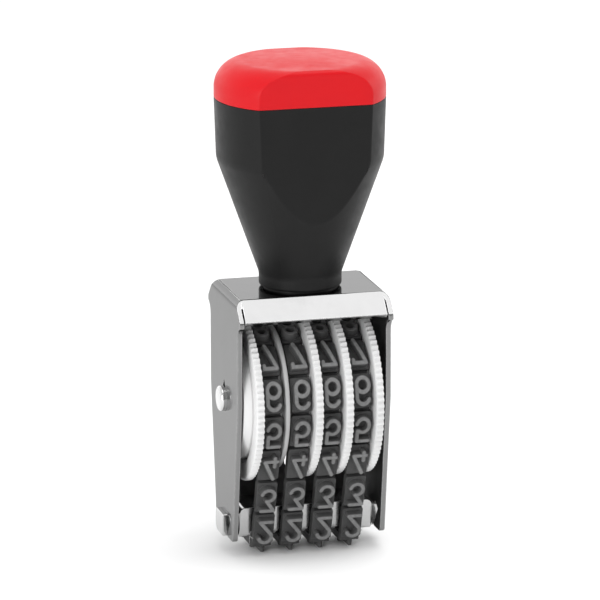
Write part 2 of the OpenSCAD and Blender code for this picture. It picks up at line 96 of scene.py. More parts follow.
def arc(centre: Point, radii: Point, start: float, end: float, steps: int) -> list[Point]:
    """Gives points along an elliptical arc.

    Args:
        centre: Centre of the arc.
        radii: Half widths along the first and second axis.
        start: Angle of the first point in degrees.
        end: Angle of the last point in degrees.
        steps: Number of straight steps.

    Returns:
        The points, one more than the steps.
    """
    turns = [math.radians(start + (end - start) * i / steps) for i in range(steps + 1)]
    return [(centre[0] + radii[0] * math.cos(t), centre[1] + radii[1] * math.sin(t)) for t in turns]


def softened(points: Sequence[Point], radii: dict[int, float], steps: int = 5) -> list[Point]:
    """Rounds chosen corners of an open outline.

    Args:
        points: Corners of the outline.
        radii: Rounding radius for each corner's number.
        steps: Number of steps round each corner.

    Returns:
        The outline with the corners rounded.
    """
    out: list[Point] = []
    for i, point in enumerate(points):
        if i not in radii:
            out.append(point)
            continue
        corner = Vector(point)
        before = (Vector(points[i - 1]) - corner).normalized()
        after = (Vector(points[i + 1]) - corner).normalized()
        half = before.angle(after) / 2
        centre = corner + (before + after).normalized() * radii[i] / math.sin(half)
        reach = radii[i] / math.tan(half)
        first, last = corner + before * reach - centre, corner + after * reach - centre
        for step in range(steps + 1):
            spoke = first.lerp(last, step / steps).normalized() * radii[i]
            out.append(tuple(centre + spoke))
    return out


def ring_edges(bm: BMesh, ring: Sequence[BMVert]) -> list[BMEdge]:
    """Gives the edges between neighbours of a closed ring of vertices, making those that are missing."""
    pairs = [(ring[i - 1], ring[i]) for i in range(len(ring))]
    return [bm.edges.get(pair) or bm.edges.new(pair) for pair in pairs]


def loft(bm: BMesh, rings: Sequence[Sequence[Vector]], closed: bool = False) -> None:
    """Extrudes a closed ring of vertices through a row of places.

    Args:
        bm: Mesh that receives the shape.
        rings: Corners of each ring in metres, in one order.
        closed: True joins the last ring to the first, and False caps both ends.
    """
    ring = [bm.verts.new(co) for co in rings[0]]
    first = ring
    for places in rings[1:]:
        made = bmesh.ops.extrude_edge_only(bm, edges=ring_edges(bm, ring))["geom"]
        new = {v for v in made if isinstance(v, BMVert)}
        step = []
        for old, place in zip(ring, places):
            vert = next(e.other_vert(old) for e in old.link_edges if e.other_vert(old) in new)
            vert.co = place
            step.append(vert)
        ring = step
    if closed:
        bmesh.ops.bridge_loops(bm, edges=ring_edges(bm, ring) + ring_edges(bm, first))
    else:
        for end in (first, ring):
            bmesh.ops.contextual_create(bm, geom=ring_edges(bm, end))


def spun(bm: BMesh, profile: Sequence[Point], steps: int, closed: bool = True) -> list[BMVert]:
    """Spins a profile of (height along Z, radius) in millimetres a full turn round Z.

    Args:
        bm: Mesh that receives the shape.
        profile: Corners of the profile.
        steps: Number of steps in the turn.
        closed: True joins the last corner to the first.

    Returns:
        The vertices that were made.
    """
    before = set(bm.verts)
    line = [bm.verts.new((radius * MM, 0, height * MM)) for height, radius in profile]
    edges = [bm.edges.new(pair) for pair in zip(line, line[1:])]
    if closed:
        edges.append(bm.edges.new((line[-1], line[0])))
    bmesh.ops.spin(
        bm, geom=line + edges, cent=(0, 0, 0), axis=(0, 0, 1), angle=math.tau, steps=steps, use_merge=True
    )
    made = [v for v in bm.verts if v not in before]
    bmesh.ops.remove_doubles(bm, verts=made, dist=WELD)
    return [v for v in bm.verts if v not in before]


def sharp_edges(bm: BMesh, angle: float = 40) -> list[BMEdge]:
    """Gives the edges whose two faces turn by more than an angle in degrees."""
    limit = math.radians(angle)
    return [e for e in bm.edges if len(e.link_faces) == 2 and e.calc_face_angle() > limit]


def round_edges(bm: BMesh, edges: Sequence[BMEdge], radius: float, segments: int = 2) -> None:
    """Bevels edges to a small radius.

    Args:
        bm: Mesh that holds the edges.
        edges: Edges to round.
        radius: Radius in millimetres.
        segments: Number of faces across the rounding.
    """
    bmesh.ops.bevel(
        bm, geom=list(edges), offset=radius * MM, offset_type="OFFSET", affect="EDGES",
        segments=segments, profile=0.5, material=-1, clamp_overlap=False,
    )


def cad_copy(node: str) -> BMesh:
    """Copies a CAD node's mesh, welds its triangles and joins those that lie in one plane.

    Args:
        node: Name of the CAD node.

    Returns:
        The new mesh.
    """
    bm = bmesh.new()
    bm.from_mesh(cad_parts[node].data)
    bmesh.ops.remove_doubles(bm, verts=bm.verts, dist=CAD_WELD)
    bmesh.ops.dissolve_limit(bm, angle_limit=math.radians(CAD_FLAT), verts=bm.verts, edges=bm.edges)
    return bm


def axle_line() -> Point:
    """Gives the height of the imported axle's middle, and its radius, in millimetres."""
    low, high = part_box("axle")
    return (low.z + high.z) / 2 / MM, (high.z - low.z) / 2 / MM


def along_axle(bm: BMesh, verts: Sequence[BMVert], axle_z: float, side: int = 1, x: float = 0) -> None:
    """Turns spun vertices from the Z axis onto the axle's line.

    Args:
        bm: Mesh that holds the vertices.
        verts: Vertices to place.
        axle_z: Height of the axle in millimetres.
        side: 1 turns +Z to +X, and -1 turns it to -X.
        x: Place along the axle in millimetres.
    """
    turn = Matrix.Rotation(side * math.pi / 2, 4, "Y")
    bmesh.ops.transform(bm, matrix=Matrix.Translation((x * MM, 0, axle_z * MM)) @ turn, verts=list(verts))


def make_piece(
    name: str, bm: BMesh, body: Body, slot: Slot, finish: bpy.types.Material, stands_for: Sequence[str],
    smooth: float = 35,
) -> bpy.types.Object:
    """Makes a mesh a named piece that rides on a body.

    Args:
        name: Name of the piece.
        bm: Its mesh, which is freed.
        body: Body that it rides on.
        slot: Record slot of its finish.
        finish: Its material.
        stands_for: CAD nodes that it replaces.
        smooth: Largest angle in degrees that is shaded smooth.

    Returns:
        The new object.
    """
    bmesh.ops.recalc_face_normals(bm, faces=bm.faces)
    mesh = bpy.data.meshes.new(name)
    bm.to_mesh(mesh)
    bm.free()
    mesh.materials.append(finish)
    mesh.shade_smooth()
    mesh.set_sharp_from_angle(angle=math.radians(smooth))
    piece = bpy.data.objects.new(name, mesh)
    bpy.context.scene.collection.objects.link(piece)
    weighted = piece.modifiers.new("even_normals", "WEIGHTED_NORMAL")
    weighted.keep_sharp = True
    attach(piece, body.value)
    if stands_for:
        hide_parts(*stands_for)
    log.info("%s: %d faces on %s, finish %s", name, len(mesh.polygons), body.value, slot.value)
    return piece


# Finishes


class Desk:
    """Places shader nodes in a tree and joins them."""

    def __init__(self, tree: bpy.types.NodeTree) -> None:
        """Keeps the tree that the nodes go in."""
        self.tree = tree

    def put(self, kind: str, inputs: dict[str, object] | None = None, **settings: object) -> bpy.types.Node:
        """Adds a node.

        Args:
            kind: Node type, such as ShaderNodeBump.
            inputs: Value for each named socket, or another node's socket to join to it.
            settings: Other properties of the node.

        Returns:
            The new node.
        """
        node = self.tree.nodes.new(kind)
        for key, value in settings.items():
            setattr(node, key, value)
        for key, value in (inputs or {}).items():
            self.feed(node.inputs[int(key) if key.isdigit() else key], value)
        return node

    def feed(self, socket: bpy.types.NodeSocket, value: object) -> None:
        """Joins another socket to this one, or sets its value.

        Args:
            socket: Input socket of a node in the tree.
            value: The other node's socket, or the value.
        """
        if isinstance(value, bpy.types.NodeSocket):
            self.tree.links.new(value, socket)
        else:
            socket.default_value = value

    def spread(self, value: object, low: float, high: float, source: Point = (0.0, 1.0)) -> object:
        """Maps a value's range onto low to high, and gives the result's socket."""
        inputs = {"Value": value, "From Min": source[0], "From Max": source[1], "To Min": low, "To Max": high}
        return self.put("ShaderNodeMapRange", inputs).outputs["Result"]

    def blend(self, share: object, first: object, second: object) -> object:
        """Mixes two colours by a share, and gives the result's socket."""
        inputs = {"0": share, "6": first, "7": second}
        return self.put("ShaderNodeMix", inputs, data_type="RGBA").outputs[2]


def shader_group(name: str, inputs: dict[str, float], outputs: Sequence[str]) -> tuple[Desk, object, object]:
    """Starts a shader node group.

    Args:
        name: Name of the group.
        inputs: Default value of each number that goes in, besides the vector.
        outputs: Names of the numbers that come out.

    Returns:
        A desk for the group's tree, and its input and output nodes.
    """
    tree = bpy.data.node_groups.new(name, "ShaderNodeTree")
    tree.interface.new_socket("Vector", in_out="INPUT", socket_type="NodeSocketVector")
    for key, value in inputs.items():
        socket = tree.interface.new_socket(key, in_out="INPUT", socket_type="NodeSocketFloat")
        socket.default_value = value
    for key in outputs:
        tree.interface.new_socket(key, in_out="OUTPUT", socket_type="NodeSocketFloat")
    desk = Desk(tree)
    return desk, desk.put("NodeGroupInput"), desk.put("NodeGroupOutput")


def grain_group() -> bpy.types.NodeTree:
    """Makes the fine grain of a moulded or rolled surface.

    Returns:
        A group whose Height is the grain and whose Cloud is its slow drift.
    """
    desk, given, result = shader_group("surface grain", {"Fine": 9000.0, "Slow": 300.0}, ["Height", "Cloud"])
    fine = desk.put(
        "ShaderNodeTexNoise",
        {"Vector": given.outputs["Vector"], "Scale": given.outputs["Fine"], "Detail": 3.0, "Roughness": 0.6},
    )
    slow = desk.put(
        "ShaderNodeTexNoise",
        {"Vector": given.outputs["Vector"], "Scale": given.outputs["Slow"], "Detail": 2.0, "Roughness": 0.5},
    )
    desk.feed(result.inputs["Height"], fine.outputs["Fac"])
    desk.feed(result.inputs["Cloud"], slow.outputs["Fac"])
    return desk.tree


def edge_group() -> bpy.types.NodeTree:
    """Makes a mask of rubbed edges, from how far a rounded normal turns from the plain one.

    Returns:
        A group whose Mask is broken up by noise.
    """
    desk, given, result = shader_group("rubbed edges", {"Width": 0.0003, "Break": 2500.0}, ["Mask"])
    rounded = desk.put("ShaderNodeBevel", {"Radius": given.outputs["Width"]}, samples=6)
    plain = desk.put("ShaderNodeNewGeometry")
    inputs = {"0": rounded.outputs["Normal"], "1": plain.outputs["Normal"]}
    facing = desk.put("ShaderNodeVectorMath", inputs, operation="DOT_PRODUCT")
    flat, sharp = 0.995, 0.86
    rub = desk.spread(facing.outputs["Value"], 0.0, 1.0, (flat, sharp))
    noise = desk.put(
        "ShaderNodeTexNoise",
        {"Vector": given.outputs["Vector"], "Scale": given.outputs["Break"], "Detail": 2.0},
    )
    patch = desk.spread(noise.outputs["Fac"], 0.35, 1.0, NOISE_SPAN)
    mask = desk.put("ShaderNodeMath", {"0": rub, "1": patch}, operation="MULTIPLY")
    desk.feed(result.inputs["Mask"], mask.outputs[0])
    return desk.tree


def film_group() -> bpy.types.NodeTree:
    """Makes the faint patches that handling and dust leave on a surface.

    Returns:
        A group whose Film is 1 where the patches are.
    """
    desk, given, result = shader_group("handling film", {"Size": 120.0}, ["Film"])
    broad = desk.put(
        "ShaderNodeTexNoise",
        {"Vector": given.outputs["Vector"], "Scale": given.outputs["Size"], "Detail": 4.0,
         "Roughness": 0.65, "Distortion": 0.8},
    )
    clean, covered = 0.4, 0.68
    film = desk.spread(broad.outputs["Fac"], 0.0, 1.0, (clean, covered))
    desk.feed(result.inputs["Film"], film)
    return desk.tree


GROUPS = {"grain": grain_group(), "edges": edge_group(), "film": film_group()}


def grey(value: float) -> Colour:
    """Gives an opaque neutral colour."""
    return (value, value, value, 1.0)


@dataclass(frozen=True)
class Finish:
    """A surface finish: one principled shader fed by the shared groups.

    The stretch draws the grain out along an axis, as rolling does to sheet. The film lifts roughness and
    changes the colour where hands and dust have been, and edges show the edge colour. Grazing tones down
    what a surface mirrors at its outline, and the top highlight colour is a painted highlight on the tops of
    the digits, lighter as if they catch the light.
    """

    name: str
    colour: Colour
    film_colour: Colour
    edge_colour: Colour
    roughness: float
    film_roughness: float
    metallic: float = 0.0
    specular: float = 0.5
    grazing: float = 1.0
    stretch: tuple[float, float, float] = (1.0, 1.0, 1.0)
    fine: float = 9000.0
    slow: float = 300.0
    film_size: float = 120.0
    film_share: float = 0.5
    grain_roughness: float = 0.05
    bump: float = 0.1
    bump_depth: float = 0.00002
    edge_width: float = 0.00025
    edge_break: float = 2500.0
    top_highlight_colour: Colour | None = None

    def material(self) -> bpy.types.Material:
        """Builds the material.

        Returns:
            The new material.
        """
        made = bpy.data.materials.new(self.name)
        made.use_nodes = True
        made.node_tree.nodes.clear()
        desk = Desk(made.node_tree)
        place = desk.put("ShaderNodeTexCoord").outputs["Object"]
        drawn = desk.put("ShaderNodeMapping", {"Vector": place, "Scale": self.stretch}).outputs["Vector"]
        grain = desk.put(
            "ShaderNodeGroup", {"Vector": drawn, "Fine": self.fine, "Slow": self.slow},
            node_tree=GROUPS["grain"],
        )
        film = desk.put(
            "ShaderNodeGroup", {"Vector": place, "Size": self.film_size}, node_tree=GROUPS["film"]
        ).outputs["Film"]
        edges = desk.put(
            "ShaderNodeGroup", {"Vector": place, "Width": self.edge_width, "Break": self.edge_break},
            node_tree=GROUPS["edges"],
        ).outputs["Mask"]
        share = desk.spread(film, 0.0, self.film_share)
        colour = desk.blend(share, self.colour, self.film_colour)
        # Painted highlight: the tops of the digits are lightened as if they catch the light, broken up by the
        # slow cloud.
        if self.top_highlight_colour:
            raised = desk.put("ShaderNodeAttribute", attribute_name=TOP_HIGHLIGHT_MASK).outputs["Fac"]
            cloudy = desk.spread(grain.outputs["Cloud"], 0.7, 1.0, NOISE_SPAN)
            top_highlight_share = desk.put("ShaderNodeMath", {"0": raised, "1": cloudy}, operation="MULTIPLY").outputs[0]
            colour = desk.blend(top_highlight_share, colour, self.top_highlight_colour)
        colour = desk.blend(edges, colour, self.edge_colour)
        swing = self.grain_roughness
        drift = desk.spread(grain.outputs["Cloud"], -swing, swing, DRIFT_SPAN)
        base = desk.spread(film, self.roughness, self.film_roughness)
        rough = desk.put(
            "ShaderNodeMath", {"0": base, "1": drift}, operation="ADD", use_clamp=True
        ).outputs[0]
        bump = desk.put(
            "ShaderNodeBump",
            {"Height": grain.outputs["Height"], "Strength": self.bump, "Distance": self.bump_depth},
        ).outputs["Normal"]
        surface = desk.put("ShaderNodeBsdfPrincipled", {
            "Base Color": colour, "Roughness": rough, "Normal": bump, "Metallic": self.metallic,
            "Specular IOR Level": self.specular, "Specular Tint": grey(self.grazing),
        })
        output = desk.put("ShaderNodeOutputMaterial")
        desk.feed(output.inputs["Surface"], surface.outputs["BSDF"])
        return made


FINISHES: dict[Slot, Finish] = {
    Slot.SHEET: Finish(
        "rolled nickel sheet", grey(0.23), grey(0.21), grey(0.8), 0.1, 0.15, metallic=1.0, grazing=0.72,
        stretch=(0.25, 1.0, 1.0), fine=5000.0, slow=900.0, film_size=90.0, grain_roughness=0.025,
        bump=0.06, bump_depth=0.00001, edge_width=0.0003,
    ),
    Slot.BAR: Finish(
        "satin nickel bar", grey(0.54), grey(0.49), grey(0.7), 0.16, 0.22, metallic=1.0,
        stretch=(0.2, 1.0, 1.0), fine=6000.0, slow=900.0, bump=0.12,
    ),
    Slot.STEEL: Finish(
        "turned bright steel", grey(0.72), grey(0.62), grey(0.85), 0.14, 0.22, metallic=1.0,
        stretch=(1.0, 0.3, 0.3), fine=7000.0, slow=1200.0, grain_roughness=0.04, bump=0.1,
    ),
    Slot.SPRING: Finish(
        "blued spring steel", grey(0.16), grey(0.2), grey(0.45), 0.32, 0.4, metallic=1.0, bump=0.12,
    ),
    Slot.ZINC: Finish(
        "zinc plated steel", grey(0.55), grey(0.48), grey(0.7), 0.3, 0.42, metallic=1.0, bump=0.15,
    ),
    Slot.WHITE: Finish(
        "white moulded plastic", grey(0.7), grey(0.64), grey(0.78), 0.42, 0.5, specular=0.4,
        fine=7000.0, slow=700.0, film_size=160.0, film_share=0.35, bump=0.12,
    ),
    # The rubber's top highlight colour is a painted highlight on the tops of the digits.
    Slot.RUBBER: Finish(
        "grey stamp rubber", grey(0.052), grey(0.068), grey(0.11), 0.62, 0.72, specular=0.3,
        fine=8000.0, slow=1500.0, film_size=260.0, film_share=0.6, grain_roughness=0.08,
        bump=0.35, bump_depth=0.00003, edge_width=0.00016, edge_break=4000.0, top_highlight_colour=grey(0.2),
    ),
    Slot.BLACK: Finish(
        "matt black plastic", grey(0.008), grey(0.011), grey(0.028), 0.4, 0.48, specular=0.17,
        slow=500.0, film_size=70.0, grain_roughness=0.04, bump=0.3, edge_width=0.0003,
    ),
    Slot.RED: Finish(
        "red moulded plastic", (0.6, 0.006, 0.01, 1.0), (0.55, 0.008, 0.014, 1.0), (0.72, 0.04, 0.05, 1.0),
        0.36, 0.44, specular=0.17,
        slow=500.0, film_size=70.0, grain_roughness=0.04, bump=0.2, edge_width=0.0003,
    ),
}
# Painted shade: the cheek's white is darkened to stand in for the shade that falls between bands 1 and 2.
CHEEK_PAINTED_SHADE = replace(
    FINISHES[Slot.WHITE], name="white plastic with painted shade", colour=grey(0.4), film_colour=grey(0.35),
    edge_colour=grey(0.48),
)
# Painted shade: a near-black, dull, non-metal sheet that stands in for the shade inside the frame.
INNER_PAINTED_SHADE = replace(
    FINISHES[Slot.SHEET], name="inner sheet painted shade", colour=grey(0.012), film_colour=grey(0.02),
    edge_colour=grey(0.05), roughness=0.6, film_roughness=0.7, metallic=0.0, specular=0.06,
)


# Sub-assemblies


@dataclass
class FoldedFrame:
    """The folded sheet frame, the platen in its slots and the screw that holds the handle."""

    finish: dict[Slot, bpy.types.Material]
    sheet_edge: float = 0.14
    bar_edge: float = 0.22
    small_edge: float = 0.12
    edge_steps: int = 3
    small_steps: int = 2
    sideways: float = 0.99

    def build(self) -> None:
        """Makes the frame, platen, screw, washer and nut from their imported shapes, with rounded edges."""
        sheet = self.rounded_copy("frame", "folded_frame", Slot.SHEET, self.sheet_edge, self.edge_steps)
        # Painted shade on the side plates' inner faces.
        self.paint_inner_shade(sheet.data)
        self.rounded_copy("platen", "platen_bar", Slot.BAR, self.bar_edge, self.edge_steps)
        for node, name in (
            ("handle_screw", "screw"), ("lock_washer", "spring_washer"), ("handle_nut", "hex_nut"),
        ):
            self.rounded_copy(node, name, Slot.ZINC, self.small_edge, self.small_steps)

    def paint_inner_shade(self, sheet: bpy.types.Mesh) -> None:
        """Paints shade on the side plates' inner faces, which turn towards the middle, with a near-black dull
        material.

        Args:
            sheet: Mesh of the folded frame.
        """
        sheet.materials.append(INNER_PAINTED_SHADE.material())
        for face in sheet.polygons:
            if face.normal.x * face.center.x < 0 and abs(face.normal.x) > self.sideways:
                face.material_index = 1

    def rounded_copy(
        self, node: str, name: str, slot: Slot, radius: float, segments: int,
    ) -> bpy.types.Object:
        """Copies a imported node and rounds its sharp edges.

        Args:
            node: CAD node that is copied and replaced.
            name: Name of the new piece.
            slot: Record slot of its finish.
            radius: Edge radius in millimetres.
            segments: Number of faces across the rounding.

        Returns:
            The new piece.
        """
        bm = cad_copy(node)
        round_edges(bm, sharp_edges(bm), radius, segments)
        return make_piece(name, bm, Body.STAMP, slot, self.finish[slot], [node])


@dataclass
class AxleSet:
    """The axle with its clips and washer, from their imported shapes."""

    finish: dict[Slot, bpy.types.Material]
    end_radius: float = 0.55
    end_steps: int = 6
    clip_edge: float = 0.08
    steps: int = 72

    def build(self) -> None:
        """Makes the axle and copies the clips and the washer with softened edges."""
        axle_z, radius = axle_line()
        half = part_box("axle")[1].x / MM
        corners = [(-half, 0.0), (-half, radius), (half, radius), (half, 0.0)]
        profile = softened(corners, {1: self.end_radius, 2: self.end_radius}, self.end_steps)
        bm = bmesh.new()
        along_axle(bm, spun(bm, profile, self.steps, closed=False), axle_z)
        make_piece("axle_pin", bm, Body.STAMP, Slot.STEEL, self.finish[Slot.STEEL], ["axle"])
        for node, name, slot in (
            ("axle_clip_left", "clip_left", Slot.SPRING),
            ("axle_clip_right", "clip_right", Slot.SPRING),
            ("thrust_washer", "white_washer", Slot.WHITE),
        ):
            bm = cad_copy(node)
            round_edges(bm, sharp_edges(bm), self.clip_edge)
            make_piece(name, bm, Body.STAMP, slot, self.finish[slot], [node])


@dataclass
class ThumbWheel:
    """A white thumb wheel: toothed flange, drum and hub, and on the first wheel a thin cheek.

    The first wheel's outer side is a boss with a foot, a top and a hollow, and the last wheel's is dished.
    The flange's two edges are rows of distance from its face, drop from the teeth's tops and share of the
    teeth's depth. Its lip is rows of distance back from the outer face and out from the ring's inner radius.
    """

    number: int
    body: Body
    finish: dict[Slot, bpy.types.Material]
    side: int = 1
    dished: bool = False
    teeth: int = 84
    tooth_steps: int = 6
    tooth_depth: float = 0.42
    valley_power: float = 2.4
    smooth_edge: tuple[tuple[float, float, float], ...] = (
        (0.0, 0.62, 0.0), (0.05, 0.42, 0.0), (0.16, 0.2, 0.3), (0.32, 0.06, 0.8), (0.5, 0.0, 1.0),
    )
    crisp_edge: tuple[tuple[float, float, float], ...] = (
        (0.0, 0.6, 0.0), (0.0, 0.1, 1.0), (0.03, 0.03, 1.0), (0.1, 0.0, 1.0),
    )
    lip: tuple[Point, ...] = ((0.0, 0.25), (0.06, 0.06), (0.2, 0.0), (0.55, -0.12), (0.6, -0.4))
    rim: float = 1.35
    gap: float = 0.225
    axle_gap: float = 0.05
    drum: float = 10.3
    drum_wall: float = 1.4
    hub: float = 3.7
    wall_start: float = 0.3
    web: float = 12.2
    web_step: float = 0.03
    ring_wall: float = 3.2
    face_step: float = 0.1
    recess: float = 0.35
    boss_foot: float = 10.9
    boss_top: float = 9.9
    boss_hollow: float = 5.6
    boss_lead: float = 0.575
    edge: float = 0.12
    cheek_edge: float = 0.25
    cheek_steps: int = 4
    steps: int = 120

    def tooth_radius(self, radius: float, depth: float, step: int) -> float:
        """Gives the radius at one step round the rim, with rounded valleys between the teeth."""
        turn = step % self.tooth_steps / self.tooth_steps
        return radius - depth * abs(math.cos(math.pi * turn)) ** self.valley_power

    def flange_rings(self, rim_in: float, rim_out: float, radius: float) -> list[list[Vector]]:
        """Gives the rings of the toothed flange.

        Args:
            rim_in: Start of the flange along the axle, from the middle of the band.
            rim_out: End of the flange.
            radius: Radius over the teeth.

        Returns:
            Rings round Z, from the inner face over the rim to the outer face and back inside.
        """
        inner = radius - self.ring_wall
        deep = self.tooth_depth
        edges = (self.smooth_edge, self.crisp_edge)
        first, last = edges if self.side > 0 else reversed(edges)
        profile = [(rim_in, inner + self.lip[-1][1], 0.0)]
        profile += [(rim_in + away, radius - drop, deep * share) for away, drop, share in first]
        profile += [(rim_out - away, radius - drop, deep * share) for away, drop, share in reversed(last)]
        profile += [(rim_out - back, inner + out, 0.0) for back, out in self.lip]
        count = self.teeth * self.tooth_steps
        rings = []
        for height, reach, depth in profile:
            ring = []
            for step in range(count):
                turn = math.tau * step / count
                r = self.tooth_radius(reach, depth, step)
                ring.append(Vector((r * math.cos(turn), r * math.sin(turn), height)) * MM)
            rings.append(ring)
        return rings

    def core_profile(self, rim_in: float, open_end: float, hub_out: float, bore: float) -> list[Point]:
        """Gives the section of the drum, web and hub.

        Args:
            rim_in: Start of the flange along the axle, from the middle of the band.
            open_end: Distance of the drum's open end the other way.
            hub_out: Distance of the wheel's outermost face.
            bore: Radius of the hub's bore.

        Returns:
            Corners of (distance along the axle, radius), as a closed row.
        """
        rim_out = rim_in + self.rim
        face = rim_out - (self.recess if self.dished else self.face_step)
        web_in = rim_in + self.web_step
        wall_in = rim_in - self.wall_start
        drum_in = self.drum - self.drum_wall
        profile = [(-open_end, drum_in), (-open_end, self.drum), (web_in, self.drum)]
        if self.number == 1:
            profile += [
                (web_in, self.boss_foot), (rim_out, self.boss_foot), (hub_out, self.boss_top),
                (hub_out, self.boss_hollow), (face, self.boss_hollow),
            ]
            hub_out -= self.boss_lead
        else:
            profile += [(web_in, self.web), (face, self.web)]
        return profile + [
            (face, self.hub), (hub_out, self.hub), (hub_out, bore), (-open_end, bore),
            (-open_end, self.hub), (wall_in, self.hub), (wall_in, drum_in),
        ]

    def build(self) -> None:
        """Makes the wheel, and the cheek of the first one."""
        low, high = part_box(f"wheel_{self.number}")
        band_low, band_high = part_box(f"band_{self.number}")
        axle_z, axle_radius = axle_line()
        x = (band_low.x + band_high.x) / 2 / MM
        radius = (high.z - low.z) / 2 / MM
        left, right = x - low.x / MM, high.x / MM - x
        open_end, hub_out = (left, right) if self.side > 0 else (right, left)
        rim_in = (band_high.x - band_low.x) / 2 / MM + self.gap
        bm = bmesh.new()
        spun(bm, self.core_profile(rim_in, open_end, hub_out, axle_radius + self.axle_gap), self.steps)
        round_edges(bm, sharp_edges(bm), self.edge)
        loft(bm, self.flange_rings(rim_in, rim_in + self.rim, radius), closed=True)
        along_axle(bm, bm.verts, axle_z, self.side, x)
        name = f"thumb_wheel_{self.number}"
        make_piece(name, bm, self.body, Slot.WHITE, self.finish[Slot.WHITE], [f"wheel_{self.number}"])
        if self.number == 1:
            self.build_cheek()

    def build_cheek(self) -> None:
        """Makes the thin cheek that rides with the first wheel, with painted shade in its colour."""
        bm = cad_copy("wheel_cheek")
        round_edges(bm, sharp_edges(bm), self.cheek_edge, self.cheek_steps)
        # Painted shade: a darkened white stands in for the shade on the cheek between the bands.
        cheek_shade = CHEEK_PAINTED_SHADE.material()
        make_piece("thumb_wheel_cheek", bm, self.body, Slot.WHITE, cheek_shade, ["wheel_cheek"])


@dataclass
class BandPath:
    """The closed path of a digit band: flat under the nose, straight up both sides, and round the drum.

    Distances run along the pitch line, from the middle of the nose up the front. Heights are above the band's
    inner face.
    """

    axle_z: float
    drum_radius: float = 10.45
    nose_radius: float = 1.55
    nose_y: float = 1.9
    nose_z: float = 4.6
    pitch: float = 1.65
    nose_turn: float = field(init=False)
    run_start: float = field(init=False)
    run_end: float = field(init=False)
    length: float = field(init=False)

    def __post_init__(self) -> None:
        """Works out where the straight run leaves the nose and meets the drum."""
        rise = self.axle_z - self.nose_z
        apart = math.hypot(self.nose_y, rise)
        wider = self.drum_radius - self.nose_radius
        slope = math.asin(wider / apart) - math.atan2(self.nose_y, rise)
        self.nose_turn = math.pi / 2 - slope
        self.run_start = self.nose_y + (self.nose_radius + self.pitch) * self.nose_turn
        self.run_end = self.run_start + math.sqrt(apart**2 - wider**2)
        drum_half = (self.drum_radius + self.pitch) * (math.pi - self.nose_turn)
        self.length = 2 * (self.run_end + drum_half)

    def place(self, s: float) -> tuple[float, float, float]:
        """Gives the place on the pitch line at a distance.

        Args:
            s: Distance from the middle of the nose, up the front.

        Returns:
            The Y and Z place, and the band's turn from facing down in radians.
        """
        if s > self.length / 2:
            y, z, turn = self.place(self.length - s)
            return -y, z, math.tau - turn
        if s < self.nose_y:
            return -s, self.nose_z - self.nose_radius - self.pitch, 0.0
        if s >= self.run_end:
            reach = self.drum_radius + self.pitch
            turn = self.nose_turn + (s - self.run_end) / reach
            return -reach * math.sin(turn), self.axle_z - reach * math.cos(turn), turn
        reach = self.nose_radius + self.pitch
        turn = min((s - self.nose_y) / reach, self.nose_turn)
        along = max(s - self.run_start, 0.0)
        y = -self.nose_y - reach * math.sin(turn) - along * math.cos(self.nose_turn)
        return y, self.nose_z - reach * math.cos(turn) + along * math.sin(self.nose_turn), turn

    def spot(self, s: float, height: float) -> Point:
        """Gives a place off the pitch line.

        Args:
            s: Distance from the middle of the nose, up the front.
            height: Height above the inner face.

        Returns:
            The Y and Z place.
        """
        y, z, turn = self.place(s % self.length)
        over = height - self.pitch
        return y - over * math.sin(turn), z - over * math.cos(turn)

    def block_spot(self, middle: float, along: float, height: float) -> Point:
        """Gives a place on a digit block, which bends on the drum and stays straight near the nose.

        Args:
            middle: Distance of the block's middle.
            along: Distance from the middle.
            height: Height above the inner face.

        Returns:
            The Y and Z place.
        """
        low, high = self.run_start, self.length - self.run_start
        s = middle + along
        if low <= middle <= high:
            base = min(max(s, low), high)
        else:
            base = middle
        y, z = self.spot(base, height)
        turn = self.place(base % self.length)[2]
        return y - (s - base) * math.cos(turn), z + (s - base) * math.sin(turn)


